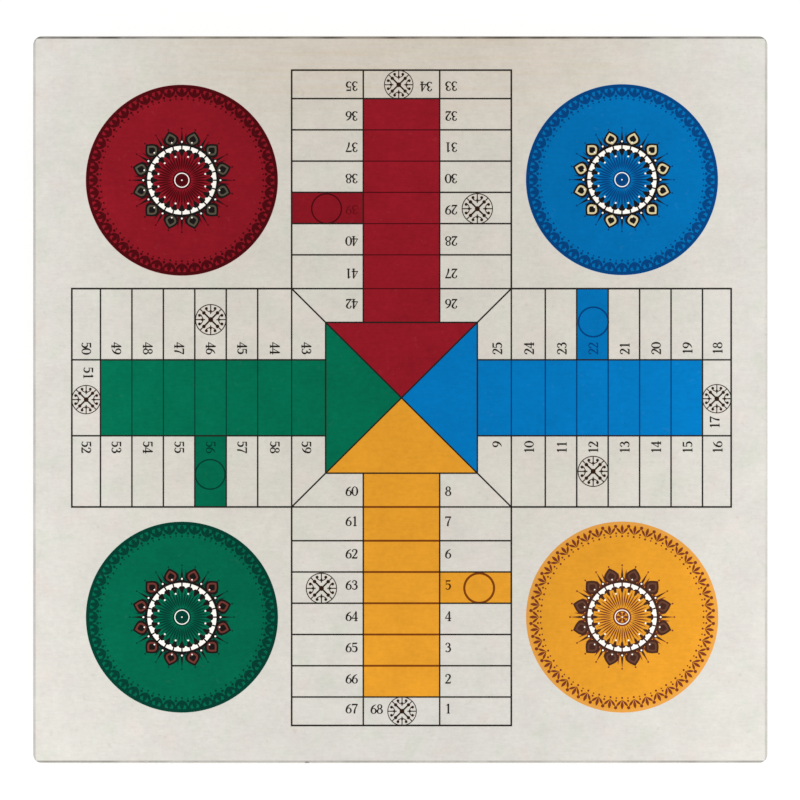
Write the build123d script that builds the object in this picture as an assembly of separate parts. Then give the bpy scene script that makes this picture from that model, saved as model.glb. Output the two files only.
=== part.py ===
from build123d import *
import os
from math import cos, radians, sin

# A shallow wooden game box whose one-piece ludo board is its lid. The board overhangs the
# finger-jointed box all round and folds back on two butt hinges along the rear edge. Two
# swing hooks on the front latch it. Inside, cross-lapped dividers make nine compartments
# for the counters and dice.
#
# Millimetres. The origin is on the table under the middle of the closed box, +Z is up,
# +X is to the player's right and +Y points from the front to the hinges.

# ---- Driving dimensions ---------------------------------------------------------------

# Board
board_width = 400.0
board_depth = 396.0
board_corner_radius = 5.0
core_thickness = 6.0
face_sheet = 0.4
top_edge_radius = 1.0
board_overhang = 4.8

# Walls and rails
wall_thickness = 8.0
tray_wall_height = 20.0
seam_gap = 0.3
finger_count = 5
joint_clearance = 0.05
edge_ease = 0.5

# Bottom, linings and feet
bottom_thickness = 4.0
bottom_rebate = 4.0
tray_lining_thickness = 1.0
lid_lining_thickness = 0.8
lining_margin = 0.3
foot_radius = 9.0
foot_height = 2.0
foot_inset = 22.0

# Dividers
divider_thickness = 4.0
dado_depth = 2.0
compartments_across = 3
compartments_deep = 3

# Hinges
hinge_inset = 76.0
hinge_length = 38.0
leaf_depth = 6.0
leaf_thickness = 1.0
leaf_corner_radius = 1.0
knuckle_count = 5
knuckle_radius = 2.2
knuckle_gap = 0.3
hinge_wall_gap = 0.4
pin_radius = 1.0
pin_clearance = 0.05
pin_head_radius = 1.7
pin_head_thickness = 0.7
pin_head_gap = 0.1

# Hinge screws
screw_length = 8.0
screw_head_radius = 1.9
screw_shank_radius = 0.9
screw_spacing = 24.0
screw_slot_width = 0.6
screw_slot_depth = 0.5
screws_per_leaf_count = 2

# Swing hooks
hook_inset = 85.0
hook_reach = 18.0
hook_thickness = 1.2
hook_eye_radius = 3.0
hook_bar_width = 3.2
hook_end_radius = 3.5
hook_tab_radius = 1.6
hook_tab_reach = 5.6
hook_standoff = 0.3
hook_engage_angle = 22.0
hook_pivot_above_seam = 7.8
pivot_radius = 1.2
pivot_clearance = 0.05
pivot_head_radius = 2.3
pivot_head_thickness = 1.1
head_dome = 0.4
stud_neck_radius = 0.9
stud_head_radius = 1.9
stud_head_thickness = 0.8
stud_clearance = 0.2
hook_head_gap = 0.1
fixing_length = 6.0

# Counters and dice
counter_radius = 7.75
counter_height = 5.5
counter_rim = 1.6
counter_dish = 0.7
counter_spacing = 16.5
counters_per_player = 4
die_size = 14.0
die_edge = 1.3
die_spacing = 16.0
dice_count = 4
contents_wall_gap = 1.0

# Print
print_thickness = 0.1
print_offset_x = 0.4
print_offset_y = 0.4
line_width = 0.7
lane_half_width = 20.8
square_half_width = 41.3
inner_cell = 18.5
middle_cell = 17.12
outer_cell = 15.6
middle_cells = 5
inner_cells = 2
cells_beyond_start = 4
home_radius = 52.2
home_offset_x = 120.0
home_offset_y = 119.0

# ---- Places that follow from them -----------------------------------------------------

shell_width = board_width - 2 * board_overhang
shell_depth = board_depth - 2 * board_overhang
inner_width = shell_width - 2 * wall_thickness
inner_depth = shell_depth - 2 * wall_thickness
front_face = -shell_depth / 2
rear_face = shell_depth / 2

tray_base = foot_height
floor_top = tray_base + bottom_thickness
lining_top = floor_top + tray_lining_thickness
tray_rim = tray_base + tray_wall_height
lid_rim = tray_rim + seam_gap
axis_height = tray_rim + seam_gap / 2
axis_y = rear_face + knuckle_radius + hinge_wall_gap
hinge_x = shell_width / 2 - hinge_inset
hook_x = shell_width / 2 - hook_inset

# The axis is at half the closed height, so the opened lid lies level with the table.
closed_height = 2 * axis_height
sheet_top = closed_height - print_thickness
core_top = sheet_top - face_sheet
core_base = core_top - core_thickness
sheet_base = core_base - face_sheet
lid_rail_height = core_base - lid_rim

compartment_width = (inner_width - (compartments_across - 1) * divider_thickness) / compartments_across
compartment_depth = (inner_depth - (compartments_deep - 1) * divider_thickness) / compartments_deep
pitch_x = compartment_width + divider_thickness
pitch_y = compartment_depth + divider_thickness
divider_height = tray_rim - floor_top
knuckle_length = (hinge_length - (knuckle_count - 1) * knuckle_gap) / knuckle_count
pivot_height = lid_rim + hook_pivot_above_seam
arm_half_width = square_half_width + inner_cell


def box_between(x0, x1, y0, y1, z0, z1):
    """A box given by its low and high coordinates."""
    place = Pos((x0 + x1) / 2, (y0 + y1) / 2, (z0 + z1) / 2)
    return place * Box(x1 - x0, y1 - y0, z1 - z0)


def group(solids):
    """Separate solids as one part."""
    return Compound(children=list(solids))


# ---- Walls, rails and bottom ----------------------------------------------------------


def jointed_wall(length, height, base, keeps_first):
    """A wall along X with its outer face at y = 0, its fingers cut at both ends."""
    wall = box_between(-length / 2, length / 2, 0, wall_thickness, base, base + height)
    finger = height / finger_count
    reach = length / 2 - wall_thickness
    for i in range(finger_count):
        if (i % 2 == 0) != keeps_first:
            z0 = base + i * finger
            wall -= box_between(-length / 2, -reach, 0, wall_thickness, z0, z0 + finger)
            wall -= box_between(reach, length / 2, 0, wall_thickness, z0, z0 + finger)
    return wall


def eased_block(height, base, glued_edges):
    """The outside of four walls, its edges eased but for the topmost that are glued."""
    x = shell_width / 2
    y = shell_depth / 2
    block = box_between(-x, x, -y, y, base, base + height)
    edges = block.edges().sort_by(Axis.Z)
    return chamfer(edges[: len(edges) - glued_edges], edge_ease)


def four_walls(height, base, glued_edges=0):
    """Front, right, back and left walls, with fingers that interlock at each corner."""
    front = Pos(0, front_face, 0) * jointed_wall(shell_width, height, base, True)
    side = jointed_wall(shell_depth, height, base, False)
    right = Pos(shell_width / 2, 0, 0) * (Rot(0, 0, 90) * side)
    left = Pos(-shell_width / 2, 0, 0) * (Rot(0, 0, -90) * side)
    back = Rot(0, 0, 180) * front
    outside = eased_block(height, base, glued_edges)
    walls = {"front": front, "right": right, "back": back, "left": left}
    return {name: wall & outside for name, wall in walls.items()}


def bottom_panel():
    """Plywood that fills the rebate round the inside of the walls."""
    inset = wall_thickness - bottom_rebate
    x = shell_width / 2 - inset
    y = shell_depth / 2 - inset
    return box_between(-x, x, -y, y, tray_base, floor_top)


def feet():
    """Felt discs under the corners of the bottom."""
    x = shell_width / 2 - foot_inset
    y = shell_depth / 2 - foot_inset
    disc = Cylinder(foot_radius, foot_height, align=(Align.CENTER, Align.CENTER, Align.MIN))
    return group(Pos(i * x, j * y, 0) * disc for i in (-1, 1) for j in (-1, 1))


# ---- Dividers and linings -------------------------------------------------------------


def divider_places(count, pitch):
    """Centre lines of the dividers between count compartments."""
    return [(i - (count - 2) / 2) * pitch for i in range(count - 1)]


divider_x = divider_places(compartments_across, pitch_x)
divider_y = divider_places(compartments_deep, pitch_y)
slot_width = divider_thickness + 2 * joint_clearance
lap_height = floor_top + divider_height / 2


def divider_across(y):
    """A divider along X, slotted from above where the others cross it."""
    x = inner_width / 2 + dado_depth - joint_clearance
    half = divider_thickness / 2
    blade = box_between(-x, x, y - half, y + half, floor_top, tray_rim)
    for cross in divider_x:
        slot = slot_width / 2
        blade -= box_between(
            cross - slot, cross + slot, y - half, y + half, lap_height, tray_rim
        )
    return blade


def divider_along(x):
    """A divider along Y, slotted from below where it crosses the others."""
    y = inner_depth / 2 + dado_depth - joint_clearance
    half = divider_thickness / 2
    blade = box_between(x - half, x + half, -y, y, floor_top, tray_rim)
    for cross in divider_y:
        slot = slot_width / 2
        blade -= box_between(
            x - half, x + half, cross - slot, cross + slot, floor_top, lap_height
        )
    return blade


def dados():
    """The grooves in the walls that hold the dividers' ends."""
    x = inner_width / 2 + dado_depth
    y = inner_depth / 2 + dado_depth
    half = slot_width / 2
    cuts = [box_between(-x, x, c - half, c + half, floor_top, tray_rim) for c in divider_y]
    cuts += [box_between(c - half, c + half, -y, y, floor_top, tray_rim) for c in divider_x]
    return cuts


def compartment_centres():
    """Centres of the compartments, row by row from the front left."""
    for j in range(compartments_deep):
        for i in range(compartments_across):
            x = (i - (compartments_across - 1) / 2) * pitch_x
            y = (j - (compartments_deep - 1) / 2) * pitch_y
            yield x, y


def tray_lining():
    """A felt pad in each compartment."""
    x = compartment_width / 2 - lining_margin
    y = compartment_depth / 2 - lining_margin
    pad = box_between(-x, x, -y, y, floor_top, lining_top)
    return group(Pos(cx, cy, 0) * pad for cx, cy in compartment_centres())


def lid_lining():
    """Felt under the board, inside the rails."""
    x = inner_width / 2 - lining_margin
    y = inner_depth / 2 - lining_margin
    return box_between(-x, x, -y, y, core_base - lid_lining_thickness, core_base)


# ---- Board ----------------------------------------------------------------------------


def rounded_board(inset, base, top):
    """The board's slab, smaller by inset all round, with its top edge rounded over."""
    outline = RectangleRounded(
        board_width - 2 * inset, board_depth - 2 * inset, board_corner_radius - inset
    )
    slab = Pos(0, 0, base) * extrude(outline, amount=top - base)
    return fillet(slab.faces().sort_by(Axis.Z)[-1].edges(), top_edge_radius - inset)


def board_core():
    """Fibreboard, rounded so that the sheet keeps its thickness round the edges."""
    return rounded_board(face_sheet, core_base, core_top)


def board_face():
    """Printed paper over the top and edges, turned in under the overhang to the rails."""
    sheet = rounded_board(0, sheet_base, sheet_top) - board_core()
    x = shell_width / 2
    y = shell_depth / 2
    return sheet - box_between(-x, x, -y, y, sheet_base, core_base)


# ---- Print ----------------------------------------------------------------------------


def printed(outline):
    """An ink film of this outline on the sheet, at the print's own centre."""
    film = extrude(outline, amount=print_thickness)
    return Pos(print_offset_x, print_offset_y, sheet_top) * film


def cell_lines():
    """Distances of the cross lines from the centre, from the arm's root to its last line."""
    lines = [square_half_width + inner_cell * i for i in range(inner_cells + 1)]
    lines += [lines[-1] + middle_cell * (i + 1) for i in range(middle_cells)]
    return lines + [lines[-1] + outer_cell]


def rectangle_between(x0, x1, y0, y1):
    """A flat rectangle given by its low and high coordinates."""
    return Pos((x0 + x1) / 2, (y0 + y1) / 2, 0) * Rectangle(x1 - x0, y1 - y0)


def colour_field(quarter):
    """One player's lane, centre triangle, start cell and home disc, turned by quarters."""
    lines = cell_lines()
    start_near = lines[-2] - cells_beyond_start * middle_cell
    start_far = start_near + middle_cell
    half = line_width / 2
    lane = rectangle_between(
        -lane_half_width, lane_half_width, square_half_width + half, lines[-2]
    )
    start = rectangle_between(-arm_half_width, -lane_half_width, start_near, start_far)
    side = square_half_width - half
    triangle = make_face(Polyline((0, half), (side, side + half), (-side, side + half), close=True))
    across = Rot(0, 0, -90 * quarter)
    home = Pos(*home_centre(quarter), 0) * Circle(home_radius)
    return group(
        [
            printed(across * (lane + start)),
            printed(across * triangle),
            printed(home),
        ]
    )


def home_centre(quarter):
    """Homes stand clockwise from the top left corner."""
    signs = [(-1, 1), (1, 1), (1, -1), (-1, -1)][quarter]
    return signs[0] * home_offset_x, signs[1] * home_offset_y


def line_across(x0, x1, y):
    """A printed line along X."""
    half = line_width / 2
    return rectangle_between(x0 - half, x1 + half, y - half, y + half)


def line_along(x, y0, y1):
    """A printed line along Y."""
    half = line_width / 2
    return rectangle_between(x - half, x + half, y0 - half, y1 + half)


def arm_lines():
    """The lines of the arm towards +Y, left open where the colours cover them."""
    lines = cell_lines()
    shapes = [line_across(-arm_half_width, arm_half_width, lines[-1])]
    shapes += [line_along(s * arm_half_width, arm_half_width, lines[-1]) for s in (-1, 1)]
    shapes += [line_along(s * lane_half_width, square_half_width, lines[-1]) for s in (-1, 1)]
    for y in lines[1:-1]:
        shapes.append(line_across(-arm_half_width, -lane_half_width, y))
        shapes.append(line_across(lane_half_width, arm_half_width, y))
    shapes.append(line_across(-lane_half_width, lane_half_width, lines[-2]))
    shapes.append(line_across(-square_half_width, square_half_width, square_half_width))
    reach = arm_half_width * 2**0.5
    diagonal = rectangle_between(0, reach, -line_width / 2, line_width / 2)
    shapes.append(Rot(0, 0, 45) * diagonal)
    return shapes


def print_lines():
    """All the lines of the cross, less what the colour fields cover."""
    outline = Sketch()
    for quarter in range(4):
        turned = Rot(0, 0, 90 * quarter)
        for shape in arm_lines():
            outline += turned * shape
    return printed(outline)


# ---- Hinges ---------------------------------------------------------------------------


def knuckle_span(i):
    """Low and high x of a knuckle, from the hinge's middle."""
    low = -hinge_length / 2 + i * (knuckle_length + knuckle_gap)
    return low, low + knuckle_length


def hinge_leaf(face, up, first_knuckle):
    """A leaf let in flush with the wall's edge at height face, and every second knuckle
    from first_knuckle, rolled round the pin. up is 1 for the lid's leaf, -1 for the
    tray's."""
    z0, z1 = sorted((face, face + up * leaf_thickness))
    half = hinge_length / 2
    leaf = box_between(-half, half, rear_face - leaf_depth, rear_face, z0, z1)
    inner_corners = leaf.edges().filter_by(Axis.Z).sort_by(Axis.Y)[:2]
    leaf = fillet(inner_corners, leaf_corner_radius)
    for i in range(first_knuckle, knuckle_count, 2):
        low, high = knuckle_span(i)
        roll = Rot(0, 90, 0) * Cylinder(knuckle_radius, high - low)
        roll = Pos((low + high) / 2, axis_y, axis_height) * roll
        leaf += box_between(low, high, rear_face, axis_y, z0, z1) + roll
    bore = Rot(0, 90, 0) * Cylinder(pin_radius + pin_clearance, 2 * hinge_length)
    return leaf - Pos(0, axis_y, axis_height) * bore


def hinge_pin():
    """The pin, with a riveted head beyond the knuckles at each end."""
    head_start = hinge_length / 2 + pin_head_gap
    head_end = head_start + pin_head_thickness
    with BuildPart() as pin:
        with BuildSketch(Plane.XY):
            with BuildLine():
                Polyline(
                    (-head_end, 0),
                    (-head_end, pin_head_radius),
                    (-head_start, pin_head_radius),
                    (-head_start, pin_radius),
                    (head_start, pin_radius),
                    (head_start, pin_head_radius),
                    (head_end, pin_head_radius),
                    (head_end, 0),
                    close=True,
                )
            make_face()
        revolve(axis=Axis.X)
    return Pos(0, axis_y, axis_height) * pin.part


def hinge_screw():
    """A countersunk screw pointing down from z = 0, its head as deep as the leaf."""
    outline = Polyline(
        (0, 0, 0),
        (screw_head_radius, 0, 0),
        (screw_shank_radius, 0, -leaf_thickness),
        (screw_shank_radius, 0, -screw_length),
        (0, 0, -screw_length),
        close=True,
    )
    return revolve(make_face(outline), axis=Axis.Z)


def screw_slot(head_radius):
    """The saw cut across a head that faces up at z = 0."""
    half = screw_slot_width / 2
    return box_between(-head_radius, head_radius, -half, half, -screw_slot_depth, 0)


def hinge_screws(face, up, screw):
    """A screw at each hole of both hinges' leaves at height face."""
    turn = Rot(180, 0, 0) if up > 0 else Rot(0, 0, 0)
    y = rear_face - leaf_depth / 2
    screws = []
    for centre in (-hinge_x, hinge_x):
        for i in range(screws_per_leaf_count):
            x = centre + (i - (screws_per_leaf_count - 1) / 2) * screw_spacing
            screws.append(Pos(x, y, face) * (turn * screw))
    return screws


def leaf_mortise(centre, face, up):
    """The recess for a leaf in a wall's edge."""
    z0, z1 = sorted((face, face + up * leaf_thickness))
    half = hinge_length / 2
    recess = box_between(-half, half, rear_face - leaf_depth, rear_face, z0, z1)
    inner_corners = recess.edges().filter_by(Axis.Z).sort_by(Axis.Y)[:2]
    return Pos(centre, 0, 0) * fillet(inner_corners, leaf_corner_radius)


# ---- Hooks ----------------------------------------------------------------------------

hook_inner = front_face - hook_standoff
hook_outer = hook_inner - hook_thickness
stud_drop = hook_reach * cos(radians(hook_engage_angle))
stud_shift = hook_reach * sin(radians(hook_engage_angle))


def hook_outline():
    """The hook hanging from its eye at the origin, its notch open towards -X. The notch
    follows an arc about the eye, so the hook closes on its stud without lifting it."""
    eye = Circle(hook_eye_radius)
    bar = Pos(0, -hook_reach / 2) * Rectangle(hook_bar_width, hook_reach)
    end = Pos(0, -hook_reach) * Circle(hook_end_radius)
    tab_tip = Pos(0, -hook_reach - hook_tab_reach) * Circle(hook_tab_radius)
    tab_neck = Pos(0, -hook_reach - hook_tab_reach / 2) * Rectangle(
        1.5 * hook_tab_radius, hook_tab_reach
    )
    plate = eye + bar + end + tab_tip + tab_neck
    notch = stud_neck_radius + stud_clearance
    ring = Circle(hook_reach + notch) - Circle(hook_reach - notch)
    opening = ring & (Pos(-hook_reach / 2, -hook_reach) * Rectangle(hook_reach, hook_reach))
    seat = Pos(0, -hook_reach) * Circle(notch)
    bore = Circle(pivot_radius + pivot_clearance)
    return plate - opening - seat - bore


def swing_hook(side):
    """One hook at rest, hanging. side is -1 at the left, 1 at the right."""
    plate = extrude(Plane.XZ * hook_outline(), amount=hook_thickness)
    if side > 0:
        plate = mirror(plate, about=Plane.YZ)
    return Pos(side * hook_x, hook_inner, pivot_height) * plate


def fixing(head_radius, head_thickness, neck_radius):
    """A pin with a domed head through the hook's plate and into the front, along Y."""
    head_back = hook_outer - hook_head_gap
    head_front = head_back - head_thickness
    tip = front_face + fixing_length
    shoulder = head_front + head_dome
    curve = (head_radius**2 + head_dome**2) / (2 * head_dome)
    middle = head_front + curve - (curve**2 - head_radius**2 / 4) ** 0.5
    dome = ThreePointArc((0, head_front), (head_radius / 2, middle), (head_radius, shoulder))
    sides = Polyline(
        (head_radius, shoulder),
        (head_radius, head_back),
        (neck_radius, head_back),
        (neck_radius, tip),
        (0, tip),
        (0, head_front),
    )
    return revolve(make_face([dome, sides]), axis=Axis.Y)


def pivot_screws():
    """The screws that the hooks turn on, in the lid's front rail."""
    turned = fixing(pivot_head_radius, pivot_head_thickness, pivot_radius)
    head_front = hook_outer - hook_head_gap - pivot_head_thickness
    turned -= Pos(0, head_front, 0) * (Rot(90, 0, 0) * screw_slot(pivot_head_radius))
    return [Pos(side * hook_x, 0, pivot_height) * turned for side in (-1, 1)]


def hook_studs():
    """The headed studs that the hooks' notches close on, in the tray's front wall."""
    turned = fixing(stud_head_radius, stud_head_thickness, stud_neck_radius)
    x = hook_x + stud_shift
    return [Pos(side * x, 0, pivot_height - stud_drop) * turned for side in (-1, 1)]


# ---- Counters and dice ----------------------------------------------------------------


def counter():
    """A turned disc with a dished top inside a raised rim."""
    rim = counter_radius - counter_rim
    outline = Polyline(
        (0, 0, 0),
        (counter_radius, 0, 0),
        (counter_radius, 0, counter_height),
        (rim, 0, counter_height),
        (rim - counter_dish, 0, counter_height - counter_dish),
        (0, 0, counter_height - counter_dish),
        close=True,
    )
    return revolve(make_face(outline), axis=Axis.Z)


def corner_counters(side_x, side_y):
    """A player's counters in a row along the outer wall of a corner compartment."""
    x = side_x * (inner_width / 2 - contents_wall_gap - counter_radius)
    outer = inner_depth / 2 - contents_wall_gap - counter_radius
    turned = counter()
    row = [side_y * (outer - i * counter_spacing) for i in range(counters_per_player)]
    return group(Pos(x, y, lining_top) * turned for y in row)


def die():
    """A cube with its edges and corners eased."""
    cube = Box(die_size, die_size, die_size)
    return chamfer(cube.edges(), die_edge)


def dice():
    """The dice in a row along the back of the middle compartment."""
    y = divider_y[-1] - divider_thickness / 2 - contents_wall_gap - die_size / 2
    z = lining_top + die_size / 2
    cube = die()
    places = [(i - (dice_count - 1) / 2) * die_spacing for i in range(dice_count)]
    return group(Pos(x, y, z) * cube for x in places)


# ---- Assembly -------------------------------------------------------------------------


def cut_all(body, tools):
    """The body less each of the tools."""
    for tool in tools:
        body -= tool
    return body


def build():
    """Every sub-part by name."""
    tray = four_walls(tray_wall_height, tray_base)
    lid = four_walls(lid_rail_height, lid_rim, glued_edges=4)
    panel = bottom_panel()
    grooves = dados()
    screw = hinge_screw()
    slotted = screw - screw_slot(screw_head_radius)
    tray_holes = hinge_screws(tray_rim, -1, screw)
    lid_holes = hinge_screws(lid_rim, 1, screw)
    studs = hook_studs()
    pivots = pivot_screws()
    parts = {}

    for side, wall in tray.items():
        wall = cut_all(wall - panel, grooves)
        if side == "back":
            recesses = [leaf_mortise(c, tray_rim, -1) for c in (-hinge_x, hinge_x)]
            wall = cut_all(wall, recesses + tray_holes)
        if side == "front":
            wall = cut_all(wall, studs)
        parts[f"tray_{side}_wall"] = wall
    for side, rail in lid.items():
        if side == "back":
            recesses = [leaf_mortise(c, lid_rim, 1) for c in (-hinge_x, hinge_x)]
            rail = cut_all(rail, recesses + lid_holes)
        if side == "front":
            rail = cut_all(rail, pivots)
        parts[f"lid_{side}_rail"] = rail

    parts["tray_bottom"] = panel
    parts["tray_lining"] = tray_lining()
    parts["feet"] = feet()
    for name, y in zip(("front_divider", "back_divider"), divider_y):
        parts[name] = divider_across(y)
    for name, x in zip(("left_divider", "right_divider"), divider_x):
        parts[name] = divider_along(x)

    tray_leaf = hinge_leaf(tray_rim, -1, 0)
    lid_leaf = hinge_leaf(lid_rim, 1, 1)
    pin = hinge_pin()
    for name, centre in zip(("left", "right"), (-hinge_x, hinge_x)):
        place = Pos(centre, 0, 0)
        parts[f"{name}_hinge_tray_leaf"] = cut_all(place * tray_leaf, tray_holes)
        parts[f"{name}_hinge_lid_leaf"] = cut_all(place * lid_leaf, lid_holes)
        parts[f"{name}_hinge_pin"] = place * pin
    parts["tray_hinge_screws"] = group(hinge_screws(tray_rim, -1, slotted))
    parts["lid_hinge_screws"] = group(hinge_screws(lid_rim, 1, slotted))
    parts["hook_studs"] = group(studs)
    parts["hook_pivot_screws"] = group(pivots)
    parts["left_hook"] = swing_hook(-1)
    parts["right_hook"] = swing_hook(1)

    parts["board_core"] = board_core()
    parts["board_face"] = board_face()
    parts["lid_lining"] = lid_lining()
    for quarter, colour in enumerate(("red", "blue", "yellow", "green")):
        parts[f"print_{colour}"] = colour_field(quarter)
        side_x, side_y = home_centre(quarter)
        corner = side_x / home_offset_x, side_y / home_offset_y
        parts[f"counters_{colour}"] = corner_counters(*corner)
    lines = print_lines()
    for quarter, colour in enumerate(("red", "blue", "yellow", "green")):
        lines -= parts[f"print_{colour}"]
    parts["print_lines"] = lines
    parts["dice"] = dice()
    return parts


if __name__ == "__main__":
    os.makedirs("parts", exist_ok=True)
    for name, part in build().items():
        export_step(part, f"parts/{name}.step")
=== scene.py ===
import random
from math import ceil, cos, hypot, log, pi, radians, sin, tau

import bmesh
import bpy
from mathutils import Matrix, Vector
from mathutils.geometry import delaunay_2d_cdt


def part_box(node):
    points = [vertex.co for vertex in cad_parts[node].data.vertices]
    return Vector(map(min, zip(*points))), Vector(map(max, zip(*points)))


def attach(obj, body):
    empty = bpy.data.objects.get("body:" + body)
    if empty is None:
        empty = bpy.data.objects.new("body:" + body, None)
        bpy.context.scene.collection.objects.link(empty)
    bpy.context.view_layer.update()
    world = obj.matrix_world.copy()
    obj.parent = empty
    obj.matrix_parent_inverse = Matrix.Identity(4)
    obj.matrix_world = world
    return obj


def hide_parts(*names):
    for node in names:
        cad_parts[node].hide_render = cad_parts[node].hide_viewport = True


# A wooden games box with a printed ludo board for its lid. The frame brings the joinery,
# the hinges and the hooks. This file prints the board, lines the box with felt, turns the
# counters, cuts the dice and gives every surface its finish.
#
# Lengths are millimetres, and MM turns them into the scene's metres. The light and the
# camera at the end are placed in metres.

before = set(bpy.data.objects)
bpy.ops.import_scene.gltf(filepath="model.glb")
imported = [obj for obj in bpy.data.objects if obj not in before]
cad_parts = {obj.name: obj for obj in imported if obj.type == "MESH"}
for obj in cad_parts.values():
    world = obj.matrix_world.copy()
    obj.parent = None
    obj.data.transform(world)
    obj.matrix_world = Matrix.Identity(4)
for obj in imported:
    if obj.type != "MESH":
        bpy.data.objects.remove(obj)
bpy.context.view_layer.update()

MM = 0.001


# ---- Sizes ----


def frame_box(node):
    """The lowest and highest corners of one of the frame's nodes, in millimetres."""
    low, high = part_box(node)
    return low / MM, high / MM


face_low, face_high = frame_box("board_face")
lines_low, lines_high = frame_box("print_lines")
sheet_top = lines_low.z
film = lines_high.z - sheet_top

# How high each layer of ink stands over the sheet, as a share of the frame's ink films. No
# two layers that overlap end at one height.
layers = {
    "field": 0.30,
    "rim": 0.38,
    "shade": 0.45,
    "dark": 0.50,
    "leaves": 0.65,
    "wheels": 0.75,
    "white": 0.80,
    "lines": 0.90,
}

# The print is a little out of the board's middle, and shallower than it is wide.
print_drift = (0.25, 0.6)
print_depth_share = 0.9940
print_x = (lines_low.x + lines_high.x) / 2 + print_drift[0]
print_y = (lines_low.y + lines_high.y) / 2 + print_drift[1]

lane_half = 20.8
square_half = 41.3
cell_depths = (18.5, 18.5, 17.12, 17.12, 17.12, 17.12, 17.12, 15.6)
start_row = 3
start_clearance = 0.05
line_width = 0.8
outline_width = 0.9
home_radius = 52.3
start_circle_radius = 8.1
side_wheel_radius = 8.5
end_wheel_radius = 8.0

digit_height = 5.2
digit_advance = 3.35
figure_width = 0.66
figure_weight = 1.36
number_gap = 2.9
number_shift = (-1.45, 0.4, -1.0, -0.1)
first_number_shift = (0.6, 1.6, 0.9, 1.2)
end_number_place = (-13.5, 1.2)

cell_edges = [square_half]
for depth in cell_depths:
    cell_edges.append(cell_edges[-1] + depth)
arm_half = cell_edges[1]
arm_end = cell_edges[-1]
lane_end = cell_edges[-2]
cells_per_arm = 17
numbers_round_board = 4 * cells_per_arm

# The arms, from the front one round anticlockwise, with the widths of the lines across each
# one's lane and of its start circle. Then come the middles of the start circle, the side
# cell's wheel and the end cell's wheel, as they lie on the front arm. The printer's plates
# were cut by hand, so no two arms agree to the millimetre.
arm_colours = ("yellow", "blue", "red", "green")
lane_line_widths = (1.05, 0.7, 0.55, 0.55)
start_circle_widths = (1.2, 0.9, 0.75, 0.8)
mark_row_y = -(cell_edges[start_row] + cell_edges[start_row + 1]) / 2
end_row_y = -(lane_end + arm_end) / 2
start_marks = (
    (42.3, mark_row_y - 0.25), (41.55, mark_row_y - 0.5),
    (40.8, mark_row_y + 0.35), (41.95, mark_row_y - 0.2),
)
side_wheels = (
    (-43.6, mark_row_y - 0.4), (-40.3, mark_row_y - 0.4),
    (-41.3, mark_row_y + 0.4), (-42.8, mark_row_y + 0.1),
)
end_wheels = ((0.3, end_row_y), (-0.5, end_row_y), (1.5, end_row_y + 0.2), (1.0, end_row_y))
home_places = {
    "red": (-119.6, 119.2),
    "blue": (120.05, 119.5),
    "green": (-119.55, -120.15),
    "yellow": (120.15, -120.1),
}


# ---- Outlines: lists of points ----


def ray(distance, angle):
    """The point at a distance from the middle, in the direction of an angle."""
    return distance * cos(angle), distance * sin(angle)


def angles(count, offset=0.0):
    """Evenly spaced angles, all the way round."""
    return [tau * (i + offset) / count for i in range(count)]


def turned(points, angle, x=0.0, y=0.0):
    """An outline turned about the middle, then moved."""
    c, s = cos(angle), sin(angle)
    return [(x + px * c - py * s, y + px * s + py * c) for px, py in points]


def moved(outlines, x, y, angle=0.0):
    """Several outlines, turned and moved together."""
    return [turned(points, angle, x, y) for points in outlines]


def box_outline(x0, y0, x1, y1):
    """An upright rectangle between two corners."""
    return [(x0, y0), (x1, y0), (x1, y1), (x0, y1)]


def bar(start, end, width):
    """A straight bar of ink with square ends, half a width longer at each."""
    (x0, y0), (x1, y1) = start, end
    length = hypot(x1 - x0, y1 - y0)
    along = ((x1 - x0) / length * width / 2, (y1 - y0) / length * width / 2)
    x0, y0 = x0 - along[0], y0 - along[1]
    x1, y1 = x1 + along[0], y1 + along[1]
    return [
        (x0 + along[1], y0 - along[0]),
        (x1 + along[1], y1 - along[0]),
        (x1 - along[1], y1 + along[0]),
        (x0 - along[1], y0 + along[0]),
    ]


def disc(x, y, radius, sides=16):
    """A round spot."""
    return [(x + radius * cos(a), y + radius * sin(a)) for a in angles(sides)]


def arc_band(inner, outer, start, end, steps, x=0.0, y=0.0):
    """A stretch of ring between two angles, as short four-sided pieces."""
    stops = [start + (end - start) * i / steps for i in range(steps + 1)]
    pieces = []
    for a, b in zip(stops, stops[1:]):
        pieces.append([ray(inner, a), ray(outer, a), ray(outer, b), ray(inner, b)])
    return moved(pieces, x, y)


def ring(inner, outer, steps=96, x=0.0, y=0.0):
    """A whole ring."""
    return arc_band(inner, outer, 0.0, tau, steps, x, y)


def leaf(near, far, width, angle, fullness=0.5, steps=8):
    """A pointed leaf on a ray from the middle, widest at a share of its length."""
    side = []
    for i in range(1, steps):
        t = i / steps
        swell = sin(pi * t ** (log(0.5) / log(fullness)))
        side.append((near + (far - near) * t, width / 2 * swell))
    right = [(r, -w) for r, w in side]
    left = [(r, w) for r, w in reversed(side)]
    return turned([(near, 0.0)] + right + [(far, 0.0)] + left, angle)


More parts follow.
